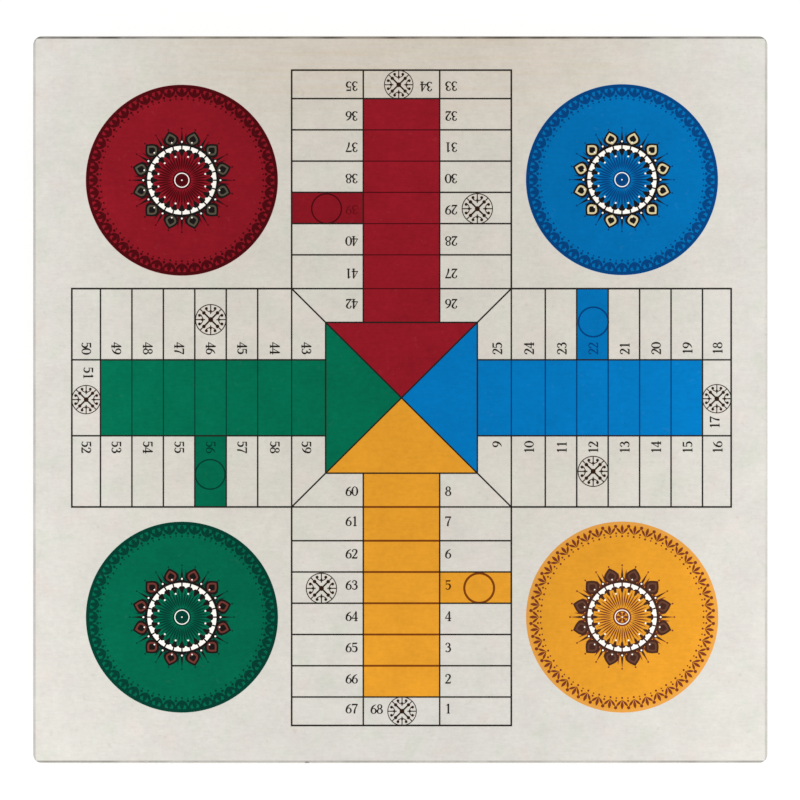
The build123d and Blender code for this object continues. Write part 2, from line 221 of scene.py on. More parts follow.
def pen_stroke(points, sides=8):
    """A stroke of changing width through (x, y, width) points, as pieces that share their
    corners. Its ends are round, and it is closed where its last point meets its first."""
    closed = hypot(points[0][0] - points[-1][0], points[0][1] - points[-1][1]) < 1e-6
    normals = []
    for (x0, y0, _), (x1, y1, _) in zip(points, points[1:]):
        length = hypot(x1 - x0, y1 - y0)
        normals.append(Vector(((y0 - y1) / length, (x1 - x0) / length)))
    befores = [normals[-1] if closed else normals[0]] + normals
    afters = normals + [normals[0] if closed else normals[-1]]
    sections = []
    for (x, y, width), before, after in zip(points, befores, afters):
        across = (before + after).normalized()
        across *= width / 2 / max(0.5, across.dot(before))
        sections.append(((x - across.x, y - across.y), (x + across.x, y + across.y)))
    pieces = [[a[0], b[0], b[1], a[1]] for a, b in zip(sections, sections[1:])]
    if not closed:
        pieces += [disc(x, y, width / 2, sides) for x, y, width in (points[0], points[-1])]
    return pieces


def smooth(points, steps=4):
    """More points on a soft curve through the given ones."""
    def between(p, q, r, s, t):
        bend = 2 * p - 5 * q + 4 * r - s
        twist = 3 * q - p - 3 * r + s
        return 0.5 * (2 * q + (r - p) * t + bend * t * t + twist * t ** 3)

    ends = [points[0], *points, points[-1]]
    curve = []
    for four in zip(ends, ends[1:], ends[2:], ends[3:]):
        for i in range(steps):
            curve.append(tuple(between(*values, i / steps) for values in zip(*four)))
    return curve + [points[-1]]


# ---- Patches: outlines joined into one flat layer of triangles ----


def joined(outlines):
    """One flat patch that covers all the outlines once, however they overlap."""
    points = []
    rings = []
    for outline in outlines:
        area = sum(x0 * y1 - x1 * y0 for (x0, y0), (x1, y1) in zip(outline, outline[1:] + outline[:1]))
        rings.append(list(range(len(points), len(points) + len(outline))))
        points += [Vector(p) for p in (outline if area > 0 else outline[::-1])]
    everywhere = 0
    merge_within = 1e-5
    made = delaunay_2d_cdt(points, [], rings, everywhere, merge_within)
    corners, _, triangles, _, _, sources = made
    kept = [t for t, source in zip(triangles, sources) if source]
    used = sorted({i for t in kept for i in t})
    place = {old: new for new, old in enumerate(used)}
    return [tuple(corners[i]) for i in used], [tuple(place[i] for i in t) for t in kept]


def gathered(patches):
    """Patches that don't touch, or other pairs of points and faces, taken as one."""
    points = []
    faces = []
    for patch_points, patch_faces in patches:
        base = len(points)
        points += patch_points
        faces += [tuple(i + base for i in face) for face in patch_faces]
    return points, faces


def placed(patch, x, y, angle=0.0, size=1.0):
    """A patch scaled, turned and moved."""
    points, triangles = patch
    return turned([(px * size, py * size) for px, py in points], angle, x, y), triangles


# ---- Meshes ----


def new_object(name, mesh):
    """An object of a mesh, in the scene."""
    made = bpy.data.objects.new(name, mesh)
    bpy.context.scene.collection.objects.link(made)
    return made


def new_piece(name, points, faces, material, sharp_angle=None):
    """A piece from points and faces. Given an angle, it is smooth but for sharper edges."""
    mesh = bpy.data.meshes.new(name)
    mesh.from_pydata([(x * MM, y * MM, z * MM) for x, y, z in points], [], faces)
    mesh.validate()
    if sharp_angle is not None:
        soften(mesh, sharp_angle)
    mesh.materials.append(material)
    return new_object(name, mesh)


def soften(mesh, sharp_angle):
    """Shades a mesh smooth, but for edges sharper than an angle in degrees."""
    mesh.polygons.foreach_set("use_smooth", [True] * len(mesh.polygons))
    mesh.set_sharp_from_angle(angle=radians(sharp_angle))


def fitted(piece, slot, body, *replaced):
    """A piece put on its body in place of the frame's nodes that it stands for, which are
    hidden. The slot is not used.
    """
    if replaced:
        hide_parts(*replaced)
    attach(piece, body)


def slab(top, bottom, faces):
    """Points and faces between two like layers, with walls round their rim."""
    count = len(top)
    edges = {(face[i - 1], face[i]) for face in faces for i in range(len(face))}
    walls = [(b, a, a + count, b + count) for a, b in sorted(edges) if (b, a) not in edges]
    underside = [tuple(i + count for i in face[::-1]) for face in faces]
    return top + bottom, faces + underside + walls


def ink_film(name, patch, layer, ink, slot, *replaced):
    """A layer of ink: a patch raised from the sheet to its height, closed all round."""
    flat, triangles = patch
    flat = [(x + print_x, y * print_depth_share + print_y) for x, y in flat]
    height = sheet_top + layers[layer] * film
    top = [(x, y, height) for x, y in flat]
    bottom = [(x, y, sheet_top) for x, y in flat]
    fitted(new_piece(name, *slab(top, bottom, triangles), ink), slot, "lid", *replaced)


def lathe(name, profile, centres, material, sharp_angle=35, segments=72):
    """Round pieces turned about upright axes, from (radius, height) points up the outside."""
    points = []
    faces = []
    for x, y in centres:
        rows = []
        for radius, z in profile:
            around = disc(x, y, radius, segments) if radius > 1e-6 else [(x, y)]
            rows.append(range(len(points), len(points) + len(around)))
            points += [(px, py, z) for px, py in around]
        for lower, upper in zip(rows, rows[1:]):
            for i in range(segments):
                j = (i + 1) % segments
                corners = [lower[k % len(lower)] for k in (i, j)]
                corners += [upper[k % len(upper)] for k in (j, i)]
                faces.append(tuple(dict.fromkeys(corners)))
    return new_piece(name, points, faces, material, sharp_angle)


def quarter(x, z, radius, start, end, steps=6):
    """Points of a rounded edge in a lathe's profile, between two angles in degrees."""
    stops = [radians(start + (end - start) * i / steps) for i in range(steps + 1)]
    return [(x + radius * cos(a), z + radius * sin(a)) for a in stops]


# ---- Node helpers ----


class Signal:
    """A value, colour or place that a node puts out. Sums of values make Math nodes."""

    def __init__(self, socket):
        self.socket = socket
        self.tree = socket.id_data

    def __add__(self, other):
        return maths("ADD", self, other)

    def __sub__(self, other):
        return maths("SUBTRACT", self, other)

    def __rsub__(self, other):
        return maths("SUBTRACT", other, self)

    def __mul__(self, other):
        return maths("MULTIPLY", self, other)

    def __truediv__(self, other):
        return maths("DIVIDE", self, other)

    def __abs__(self):
        return maths("ABSOLUTE", self)


def signals(made):
    """What a node puts out, by name and by number."""
    given = {socket.name: Signal(socket) for socket in made.outputs}
    return given | {number: Signal(socket) for number, socket in enumerate(made.outputs)}


def feed(socket, value):
    """Sets an input to a constant, or links it to a signal."""
    if isinstance(value, Signal):
        value.tree.links.new(value.socket, socket)
    else:
        socket.default_value = value


def add_node(tree, kind, inputs=None, **settings):
    """A shader node of a kind, with its settings and its inputs. Gives what it puts out."""
    made = tree.nodes.new("ShaderNode" + kind)
    for key, value in settings.items():
        setattr(made, key, value)
    for key, value in (inputs or {}).items():
        feed(made.inputs[key], value)
    return signals(made)


def tree_of(values):
    """The node tree that the signals among some values are in."""
    return next(value.tree for value in values if isinstance(value, Signal))


def maths(operation, *values):
    """One sum on values."""
    inputs = dict(enumerate(values))
    return add_node(tree_of(values), "Math", inputs, operation=operation)[0]


def vectors(operation, *values):
    """One sum on places or normals."""
    inputs = dict(enumerate(values))
    return add_node(tree_of(values), "VectorMath", inputs, operation=operation)


def split(place):
    """A place's X, Y and Z."""
    parts = add_node(place.tree, "SeparateXYZ", {"Vector": place})
    return parts["X"], parts["Y"], parts["Z"]


def spread(value, low, high, to_low=0.0, to_high=1.0):
    """A value's stretch from low to high, laid over another stretch with soft ends."""
    inputs = {"Value": value, "From Min": low, "From Max": high, "To Min": to_low, "To Max": to_high}
    return add_node(value.tree, "MapRange", inputs, interpolation_type="SMOOTHSTEP")["Result"]


def noise(place, scale, detail=2.0, roughness=0.5, distortion=0.0, output="Fac"):
    """Soft noise, around a half."""
    inputs = {
        "Vector": place, "Scale": scale, "Detail": detail,
        "Roughness": roughness, "Distortion": distortion,
    }
    return add_node(place.tree, "TexNoise", inputs)[output]


def stretched(place, x, y, z):
    """A place scaled along each axis."""
    return add_node(place.tree, "Mapping", {"Vector": place, "Scale": (x, y, z)})["Vector"]


def rgb(red, green, blue):
    """A colour given as it shows on a screen, 0 to 255, as the shader wants it."""
    def linear(value):
        value /= 255
        return value / 12.92 if value <= 0.04045 else ((value + 0.055) / 1.055) ** 2.4
    return (linear(red), linear(green), linear(blue), 1.0)


def toned(shade, share, added=0.0):
    """A share of a colour with some grey added, no brighter than white."""
    return tuple(min(1.0, share * c + added) for c in shade[:3]) + (1.0,)


def mixed(amount, a, b, blend="MIX"):
    """Two colours mixed by an amount."""
    tree = tree_of((amount, a, b))
    inputs = {0: amount, 6: a, 7: b}
    return add_node(tree, "Mix", inputs, data_type="RGBA", blend_type=blend)[2]


def tinted(shade, tone):
    """A colour made lighter or darker by a tone."""
    grey = add_node(tone.tree, "CombineColor", {0: tone, 1: tone, 2: tone})[0]
    return mixed(1.0, shade, grey, "MULTIPLY")


def new_effect(name, results, **numbers):
    """An effect that several finishes share: a node group that starts from a place and some
    numbers. Gives the group, what it is given, and where its results go."""
    tree = bpy.data.node_groups.new(name, "ShaderNodeTree")
    tree.interface.new_socket("Place", in_out="INPUT", socket_type="NodeSocketVector")
    for label, value in numbers.items():
        label = label.replace("_", " ")
        socket = tree.interface.new_socket(label, in_out="INPUT", socket_type="NodeSocketFloat")
        socket.default_value = value
    for label in results:
        tree.interface.new_socket(label, in_out="OUTPUT", socket_type="NodeSocketFloat")
    given = signals(tree.nodes.new("NodeGroupInput"))
    return tree, given, tree.nodes.new("NodeGroupOutput").inputs


def effect(group, place, **numbers):
    """One use of a shared effect in a material."""
    inputs = {label.replace("_", " "): value for label, value in numbers.items()}
    return add_node(place.tree, "Group", {"Place": place, **inputs}, node_tree=group)


# ---- Shared effects ----


def make_sun_fading():
    """Painted light and shade on the print and its paper: paler towards the left and right
    edges and most at the corners, with a band of painted shade along the middle of the hinge side."""
    group, given, result = new_effect(
        "painted_light_and_shade", ("Tone", "Dust Mask", "Middle"),
        Side_Fading=0.12, End_Fading=0.0, Corner_Fading=0.10, Dust=0.1,
    )
    half_board = (face_high.x - face_low.x) / 2 * MM
    x, y, _ = split(given["Place"])
    deep = y / half_board
    across_squared = (x / half_board) * (x / half_board)
    deep_squared = deep * deep
    # Painted light: paler towards the left and right edges and the ends, most at the corners.
    paler = across_squared * given["Side Fading"] + deep_squared * given["End Fading"]
    paler = paler + across_squared * deep_squared * given["Corner Fading"] + 1.0
    # Painted shade: a darker band along the middle of the hinge side.
    hinge_shade = spread(deep, 0.55, 0.98) * spread(across_squared, 0.75, 0.0)
    reach = maths("MAXIMUM", across_squared, deep_squared)
    feed(result["Tone"], paler * (1.0 - hinge_shade * given["Dust"]))
    feed(result["Dust Mask"], hinge_shade)
    # The middle, most on the hinge half, where the paper is painted darker and yellower.
    feed(result["Middle"], spread(reach, 0.95, 0.25) * spread(deep, -0.9, -0.1, 0.25, 1.0))
    return group


def make_paper_grain():
    """Pressed paper: a fine tooth, soft mottling and a few fibres and specks."""
    group, given, result = new_effect("paper_grain", ("Tone", "Specks", "Height"), Mottling=0.05)
    place = given["Place"]
    tooth = noise(place, 1400.0, 3.0, 0.6)
    fibres = noise(stretched(place, 160.0, 900.0, 300.0), 1.0)
    mottle = noise(place, 420.0, 3.0, 0.65) * 0.7 + noise(place, 60.0) * 0.5 + fibres * 0.35
    feed(result["Tone"], (mottle - 0.775) * given["Mottling"] + 1.0)
    feed(result["Specks"], spread(noise(place, 330.0, 1.0), 0.69, 0.76))
    feed(result["Height"], tooth + fibres * 0.6)
    return group


def make_wood_grain():
    """Wood with its grain along the place's X: growth lines, pores and short dark flecks."""
    group, given, result = new_effect(
        "wood_grain", ("Lines", "Flecks", "Height"), Line_Spacing=3.0, Waviness=1.0, Shift=0.0,
    )
    shift = given["Shift"]
    offset = add_node(group, "CombineXYZ", {"X": shift, "Y": shift, "Z": shift})[0]
    place = vectors("ADD", given["Place"], offset)["Vector"]
    bend = noise(stretched(place, 7.0, 45.0, 45.0), 1.0)
    _, y, z = split(place)
    across = (y + z * 0.6) / (given["Line Spacing"] * MM) + bend * (given["Waviness"] * 6.0)
    line = maths("POWER", maths("FRACT", across), 2.2)
    streaks = noise(stretched(place, 22.0, 900.0, 900.0), 1.0, 3.0, 0.6)
    flecks = spread(noise(stretched(place, 320.0, 2600.0, 2600.0), 1.0, 1.0), 0.60, 0.72)
    feed(result["Lines"], line * 0.55 + streaks * 0.6)
    feed(result["Flecks"], flecks)
    feed(result["Height"], streaks - flecks * 0.5)
    return group


def make_edge_wear():
    """Where edges have been rubbed: the mask is 1 on a worn edge and 0 on the flat. On brass
    it also stands for a painted highlight.
    """
    group, given, result = new_effect("edge_wear", ("Mask",), Width=0.6, Patchiness=0.6)
    rounded = add_node(group, "Bevel", {"Radius": given["Width"] * MM}, samples=4)[0]
    flat = add_node(group, "NewGeometry")["Normal"]
    edge = spread(vectors("DOT_PRODUCT", rounded, flat)["Value"], 0.995, 0.90)
    patches = spread(noise(given["Place"], 240.0, 3.0, 0.6), 0.35, 0.62)
    patches = patches * given["Patchiness"] + (1.0 - given["Patchiness"])
    feed(result["Mask"], edge * patches)
    return group


def make_felt_fuzz():
    """Pressed wool: matted fibres in every direction, with lint and trodden patches."""
    group, given, result = new_effect("felt_fuzz", ("Tone", "Lint", "Height"))
    bent = noise(given["Place"], 300.0, distortion=1.5, output="Color")
    swirl = vectors("MULTIPLY", bent, (0.004, 0.004, 0.004))["Vector"]
    place = vectors("ADD", given["Place"], swirl)["Vector"]
    strands = noise(stretched(place, 500.0, 2600.0, 900.0), 1.0, 3.0, 0.7)
    crossing = noise(stretched(place, 2600.0, 500.0, 900.0), 1.0, 3.0, 0.7)
    matted = (strands + crossing) * 0.5
    feed(result["Tone"], spread(matted * 0.7 + noise(given["Place"], 28.0) * 0.3, 0.36, 0.64))
    feed(result["Lint"], spread(noise(place, 620.0, 1.0), 0.72, 0.78))
    feed(result["Height"], matted)
    return group


painted_light_and_shade = make_sun_fading()
paper_grain = make_paper_grain()
wood_grain = make_wood_grain()
edge_wear = make_edge_wear()
felt_fuzz = make_felt_fuzz()


# ---- Finishes ----


def new_finish(name, **constants):
    """A new material: what gives it its looks, and its place on the piece it is on."""
    material = bpy.data.materials.new(name)
    material.use_nodes = True
    shader = material.node_tree.nodes["Principled BSDF"]
    for label, value in constants.items():
        shader.inputs[label.replace("_", " ")].default_value = value

    def dress(shade, roughness, height=None, strength=0.0, depth=0.0):
        """Gives the material its colour, its roughness, and a relief, millimetres deep."""
        feed(shader.inputs["Base Color"], shade)
        feed(shader.inputs["Roughness"], roughness)
        if height is not None:
            inputs = {"Height": height, "Strength": strength, "Distance": depth * MM}
            feed(shader.inputs["Normal"], add_node(height.tree, "Bump", inputs)["Normal"])
        return material

    return dress, add_node(material.node_tree, "TexCoord")["Object"]


def make_board_paper():
    """Off-white paper, blotched, and painted darker and yellower in the middle. A line of painted
    shade runs just inside its edges, darkest on the hinge side, and its front edge has a dark spot."""
    dress, place = new_finish("board_paper_finish", Specular_IOR_Level=0.12)
    grain = effect(paper_grain, place, Mottling=0.29)
    # Painted light on the paper: paler towards its left and right edges and corners, with painted
    # shade along the middle of the hinge side.
    lighting = effect(painted_light_and_shade, place, Side_Fading=0.14, Corner_Fading=0.05, Dust=0.02)
    hinge_shade = lighting["Dust Mask"]
    # Painted shade: the middle of the paper darker and yellower.
    paper = mixed(lighting["Middle"], rgb(215, 212, 205), rgb(213, 208, 198))
    blotches = noise(place, 75.0)
    paper = mixed(spread(blotches, 0.5, 0.75) * 0.5, paper, rgb(217, 207, 200))
    paper = mixed(spread(blotches, 0.5, 0.25) * 0.5, paper, rgb(208, 210, 196))
    # Painted shade along the middle of the hinge side, warm and streaked.
    streaks = spread(noise(stretched(place, 12.0, 420.0, 1.0), 1.0), 0.4, 0.75) * hinge_shade
    paper = mixed(streaks * 0.35 + hinge_shade * 0.5, paper, rgb(214, 200, 180))
    paper = mixed(grain["Specks"] * 0.10, paper, rgb(150, 143, 130))

    # A line of painted shade just inside the paper's edges, in patches: darkest on the hinge side,
    # darker towards the front corners, lighter at the middle of the right edge.
    half_width = face_high.x * MM
    half_depth = face_high.y * MM
    x, y, _ = split(place)
    inset = maths("MINIMUM", half_width - abs(x), half_depth - abs(y))
    edge_line = spread(inset, 0.0, 0.8 * MM) * spread(inset, 1.8 * MM, 1.1 * MM)
    patchy = spread(noise(place, 55.0, 3.0), 0.3, 0.7, 0.7, 1.2)
    hinge_side = spread(half_depth - y, 3.0 * MM, 2.0 * MM)
    front_side = spread(y + half_depth, 3.0 * MM, 2.0 * MM)
    near_corner = spread(abs(x), 0.55 * half_width, 0.85 * half_width)
    midway = spread(abs(y), 0.7 * half_depth, 0.3 * half_depth)
    right_middle = midway * spread(x, 0.8 * half_width, 0.9 * half_width)
    edge_shade = hinge_side * 0.56 + front_side * (near_corner * 0.18 + 0.12) + 0.25
    edge_shade = edge_shade * (right_middle * -0.75 + 1.0)

    # A small dark spot in the front edge.
    front_spot_place = (-50.8 * MM, face_low.y * MM, face_high.z * MM)
    front_spot = spread(vectors("DISTANCE", place, front_spot_place)["Value"], 1.7 * MM, 0.9 * MM, 0.0, 0.65)
    # The painted edge shade and the front edge's dark spot, in dark grey-brown.
    edge_darkening = maths("MAXIMUM", edge_line * patchy * edge_shade, front_spot)
    paper = tinted(mixed(edge_darkening, paper, rgb(52, 46, 42)), grain["Tone"] * lighting["Tone"])
    return dress(paper, grain["Height"] * 0.12 + 0.55, grain["Height"], 0.35, 0.03)


def make_ink(name, shade, roughness=0.5, mottling=0.2):
    """Printing ink on the paper, which lets a little of its grain through."""
    dress, place = new_finish(name, Specular_IOR_Level=0.02)
    grain = effect(paper_grain, place, Mottling=mottling)
    # Painted light on the inks: paler towards the left and right edges and towards the ends.
    lighting = effect(
        painted_light_and_shade, place, Side_Fading=0.35, End_Fading=0.12, Corner_Fading=0.0, Dust=0.0,
    )
    ink = mixed(grain["Specks"] * 0.04, shade, toned(shade, 0.8, 0.12))
    ink = tinted(ink, grain["Tone"] * lighting["Tone"])
    return dress(ink, grain["Height"] * 0.14 + (roughness - 0.09), grain["Height"], 0.3, 0.02)


def make_beech(name, turn, shift, pale, dark, spacing):
    """Waxed beech with its grain along X, or along Y where it is turned, and dull end grain
    where a face cuts across it."""
    dress, place = new_finish(name, Coat_Weight=0.18, Coat_Roughness=0.35)
    tree = place.tree
    along = add_node(tree, "Mapping", {"Vector": place, "Rotation": (0.0, 0.0, turn)})[0]
    grain = effect(wood_grain, along, Line_Spacing=spacing, Waviness=0.8, Shift=shift)
    wear = effect(edge_wear, place, Width=0.7, Patchiness=0.7)
    facing = add_node(
        tree, "VectorTransform",
        {"Vector": add_node(tree, "NewGeometry")["True Normal"]},
        vector_type="NORMAL", convert_from="WORLD", convert_to="OBJECT",
    )[0]
    cut_across = spread(abs(split(facing)[1 if turn else 0]), 0.6, 0.8)
    long_grain = mixed(spread(grain["Lines"], 0.15, 0.95), pale, dark)
    long_grain = mixed(grain["Flecks"] * 0.55, long_grain, rgb(140, 88, 50))
    rings = noise(stretched(place, 180.0, 180.0, 900.0), 1.0, 3.0, 0.7)
    pores = spread(noise(place, 2600.0, 1.0), 0.55, 0.7)
    end_grain = mixed(spread(rings, 0.35, 0.7), rgb(184, 134, 86), rgb(128, 82, 47))
    end_grain = mixed(pores * 0.5, end_grain, rgb(92, 56, 32))
    wood = mixed(cut_across, long_grain, end_grain)
    wood = mixed(wear["Mask"] * 0.35, wood, rgb(232, 198, 156))
    roughness = cut_across * 0.2 + grain["Lines"] * 0.16 + 0.36
    return dress(wood, roughness, grain["Height"], 0.4, 0.06)


def make_plywood():
    """The box's underside: rotary-cut birch, with wide wandering figure."""
    dress, place = new_finish("birch_plywood_finish")
    grain = effect(wood_grain, place, Line_Spacing=16.0, Waviness=0.9, Shift=0.31)
    stain = spread(noise(place, 9.0, 3.0), 0.45, 0.75)
    wood = mixed(spread(grain["Lines"], 0.2, 1.0), rgb(226, 200, 158), rgb(196, 158, 110))
    wood = mixed(grain["Flecks"] * 0.25, wood, rgb(160, 120, 80))
    wood = mixed(stain * 0.18, wood, rgb(150, 120, 84))
    return dress(wood, grain["Lines"] * 0.15 + 0.42, grain["Height"], 0.35, 0.05)


def make_fibreboard():
    """Bare fibreboard: brown, even and slightly furry."""
    dress, place = new_finish("fibreboard_finish")
    fibres = noise(place, 1800.0, 3.0, 0.7)
    tone = spread(fibres * 0.7 + noise(place, 120.0) * 0.3, 0.3, 0.7)
    return dress(mixed(tone, rgb(150, 115, 80), rgb(183, 150, 112)), 0.85, fibres, 0.5, 0.05)


def make_felt(name, dark, light):
    """Wool felt with a soft bloom."""
    dress, place = new_finish(
        name, Sheen_Weight=0.35, Sheen_Roughness=0.5, Specular_IOR_Level=0.15,
    )
    fuzz = effect(felt_fuzz, place)
    wool = mixed(fuzz["Lint"] * 0.5, mixed(fuzz["Tone"], dark, light), toned(light, 2.2, 0.05))
    return dress(wool, 0.95, fuzz["Height"], 0.9, 0.25)


def make_brass(name, bright, tarnished):
    """Brass, lacquered once: warm, a little tarnished, and bright at its edges, partly as
    rubbed brass and partly as a painted highlight.
    """
    dress, place = new_finish(name, Metallic=1.0)
    brushed = noise(stretched(place, 120.0, 1500.0, 1500.0), 1.0)
    dull = spread(noise(place, 120.0, 3.0, 0.55), 0.38, 0.68)
    wear = effect(edge_wear, place, Width=0.4, Patchiness=0.5)
    # Lighter edges: partly rubbed brass, partly a painted highlight.
    metal = mixed(wear["Mask"] * 0.7, mixed(dull, bright, tarnished), rgb(244, 214, 150))
    return dress(metal, brushed * 0.16 + dull * 0.16 + 0.16, brushed, 0.06, 0.006)


def make_counter_paint(name, shade):
    """Dipped gloss paint over turned wood, thin and scuffed at the rim."""
    dress, place = new_finish(
        name, Coat_Weight=0.1, Coat_Roughness=0.3, Specular_IOR_Level=0.25,
    )
    wear = effect(edge_wear, place, Width=0.5, Patchiness=0.9)
    cloud = noise(place, 160.0, 3.0)
    paint = mixed(spread(cloud, 0.35, 0.7), shade, toned(shade, 0.72))
    paint = mixed(wear["Mask"] * 0.45, paint, rgb(205, 165, 120))
    return dress(paint, cloud * 0.2 + 0.38, cloud, 0.2, 0.05)


def make_die_plastic(name, shade, cloud_shade, roughness):
    """Cast plastic, faintly cloudy and finely scratched."""
    dress, place = new_finish(name, Coat_Weight=0.3, Coat_Roughness=0.15)
    cloud = spread(noise(place, 260.0, 3.0), 0.35, 0.7)
    scratches = noise(stretched(place, 3000.0, 400.0, 1500.0), 1.0)
    return dress(mixed(cloud, shade, cloud_shade), scratches * 0.2 + (roughness - 0.1))


# Each colour of the print, how mottled it is, and how much of its tone is left in the round
# home and in the start cell, where the ink lies thicker.
field_colours = {
    "red": (rgb(142, 24, 36), 0.55, 0.84, 0.87),
    "blue": (rgb(2, 115, 183), 0.36, 0.81, 0.88),
    "yellow": (rgb(224, 153, 43), 0.38, 0.92, 0.98),
    "green": (rgb(2, 105, 76), 0.55, 0.83, 0.88),
}
field_roughness = 0.52
field_parts = ("field", "home", "start")
field_inks = {}
for name, (shade, mottling, *tones) in field_colours.items():
    for part, tone in zip(field_parts, (1.0, *tones)):
        ink = make_ink(f"{name}_{part}_ink", toned(shade, tone), field_roughness, mottling)
        field_inks[name, part] = ink
shade_inks = {
    "red": make_ink("red_shade_ink", rgb(70, 8, 14)),
    "blue": make_ink("blue_shade_ink", rgb(4, 62, 118)),
    "yellow": make_ink("yellow_shade_ink", rgb(118, 58, 14)),
    "green": make_ink("green_shade_ink", rgb(2, 56, 44)),
}
ornament_inks = dict(shade_inks, yellow=make_ink("brown_ornament_ink", rgb(114, 52, 36)))
rim_inks = dict(shade_inks, yellow=make_ink("amber_rim_ink", rgb(214, 150, 66)))
number_inks = dict(
    shade_inks,
    red=make_ink("red_number_ink", rgb(104, 15, 22)),
    yellow=make_ink("yellow_number_ink", rgb(64, 28, 4)),
)
leaf_inks = {
    "red": make_ink("grey_green_ink", rgb(80, 76, 62)),
    "blue": make_ink("cream_ink", rgb(208, 194, 150)),
    "yellow": make_ink("mid_brown_ink", rgb(92, 60, 46)),
    "green": make_ink("brick_ink", rgb(106, 52, 44)),
}
medallion_inks = dict.fromkeys(shade_inks, make_ink("medallion_black_ink", rgb(24, 20, 20)))
medallion_inks["yellow"] = make_ink("medallion_brown_ink", rgb(66, 38, 30))
line_ink = make_ink("line_ink_finish", rgb(34, 31, 27))
wheel_brown = make_ink("wheel_brown_ink", rgb(46, 27, 16))
white_ink = make_ink("white_ink", rgb(244, 240, 232))

board_paper_finish = make_board_paper()
wall_beech = (rgb(214, 172, 124), rgb(176, 122, 74), 3.4)
divider_beech = (rgb(226, 196, 152), rgb(198, 158, 110), 2.2)
beech_across = make_beech("beech_along_x_finish", 0.0, 0.0, *wall_beech)
beech_deep = make_beech("beech_along_y_finish", pi / 2, 0.17, *wall_beech)
divider_across = make_beech("divider_along_x_finish", 0.0, 0.53, *divider_beech)
divider_deep = make_beech("divider_along_y_finish", pi / 2, 0.71, *divider_beech)
plywood_finish = make_plywood()
fibreboard_finish = make_fibreboard()
lining_finish = make_felt("lining_felt_finish", rgb(20, 62, 46), rgb(38, 96, 72))
foot_finish = make_felt("foot_felt_finish", rgb(30, 28, 27), rgb(62, 58, 54))
brass_finish = make_brass("rolled_brass_finish", rgb(222, 184, 112), rgb(196, 154, 88))
screw_finish = make_brass("brass_screw_finish", rgb(200, 160, 96), rgb(160, 122, 70))
counter_finishes = {
    "red": make_counter_paint("red_counter_paint", rgb(172, 26, 34)),
    "blue": make_counter_paint("blue_counter_paint", rgb(10, 98, 178)),
    "yellow": make_counter_paint("yellow_counter_paint", rgb(240, 176, 40)),
    "green": make_counter_paint("green_counter_paint", rgb(8, 120, 78)),
}
die_finish = make_die_plastic("ivory_die_plastic", rgb(236, 228, 206), rgb(226, 214, 186), 0.3)
pip_finish = make_die_plastic("black_pip_paint", rgb(26, 24, 24), rgb(40, 36, 34), 0.45)


# ---- The board's print ----


def round_the_board(arm, outlines):
    """Outlines drawn for the front arm, turned to another arm."""
    return moved(outlines, 0.0, 0.0, arm * pi / 2)


def field_outlines(arm):
    """One colour's triangle and lane."""
    return round_the_board(arm, [
        [(0.0, 0.0), (-square_half, -square_half), (square_half, -square_half)],
        box_outline(-lane_half, -lane_end, lane_half, -square_half),
    ])


def start_outlines(arm):
    """One colour's start cell, a hair clear of its lane under the line between them."""
    near, far = cell_edges[start_row], cell_edges[start_row + 1]
    return round_the_board(arm, [box_outline(lane_half + start_clearance, -far, arm_half, -near)])


def paper_line_outlines(arm):
    """The black lines of one arm."""
    outlines = []
    for side in (-1, 1):
        lane_x = side * lane_half
        arm_x = side * arm_half
        outlines.append(bar((arm_x, -arm_half), (arm_x, -arm_end), outline_width))
        outlines.append(bar((lane_x, -square_half), (lane_x, -arm_end), line_width))
        outlines += [bar((lane_x, -edge), (arm_x, -edge), line_width) for edge in cell_edges[1:-1]]
        outlines.append(bar((0.0, 0.0), (side * square_half, -square_half), line_width))
    outlines.append(bar((-square_half, -square_half), (-arm_half, -arm_half), line_width))
    outlines.append(bar((-arm_half, -arm_end), (arm_half, -arm_end), outline_width))
    outlines.append(bar((-square_half, -square_half), (square_half, -square_half), line_width))
    outlines.append(bar((-lane_half, -lane_end), (lane_half, -lane_end), line_width))
    return round_the_board(arm, outlines)


def shade_line_outlines(arm):
    """The lines across one arm's coloured lane, and the circle of its start cell."""
    width = lane_line_widths[arm]
    outlines = [bar((-lane_half, -edge), (lane_half, -edge), width) for edge in cell_edges[1:-2]]
    half_width = start_circle_widths[arm] / 2
    inner, outer = start_circle_radius - half_width, start_circle_radius + half_width
    return round_the_board(arm, outlines + ring(inner, outer, 72, *start_marks[arm]))


def wheel_outlines(radius):
    """A wheel: four stout spokes with round ends, four stalks with a pair of scrolls each,
    and spots, all inside a rim. It is drawn about its own middle, in shares of its radius."""
    def spot(distance, angle, size):
        return disc(*ray(distance * radius, angle), size * radius)

    def spoke(near, far, width, angle):
        return bar(ray(near * radius, angle), ray(far * radius, angle), width * radius)

    scroll = ((0.47, 0.05, 0.04), (0.58, 0.30, 0.055), (0.68, 0.42, 0.06), (0.78, 0.36, 0.09))
    outlines = ring(0.944 * radius, radius, 64)
    for i in range(4):
        stalk = i * pi / 2
        stout = stalk + pi / 4
        outlines += [spoke(0.06, 0.60, 0.10, stout), spot(0.62, stout, 0.115)]
        outlines += [spoke(0.78, 0.93, 0.065, stout)]
        outlines += [spoke(0.40, 0.95, 0.065, stalk), spot(0.55, stalk, 0.075)]
        for side in (-1, 1):
            curl = [(*ray(r * radius, stalk + side * a), width * radius) for r, a, width in scroll]
            outlines += pen_stroke(smooth(curl, 3), 6)
            outlines.append(spot(0.77, stalk + side * 0.37, 0.095))
    outlines.append(disc(0.0, 0.0, 0.16 * radius, 20))
    return outlines


# The figures, in heights of a figure: strokes of (x, y, width), thin and thick as a broad
# pen makes them.


def straight(*points):
    """A pen stroke through points, at the weight of the printed figures."""
    return pen_stroke([(x, y, width * figure_weight) for x, y, width in points])


def curved(*points):
    """A pen stroke on a soft curve through points."""
    return straight(*smooth(points))


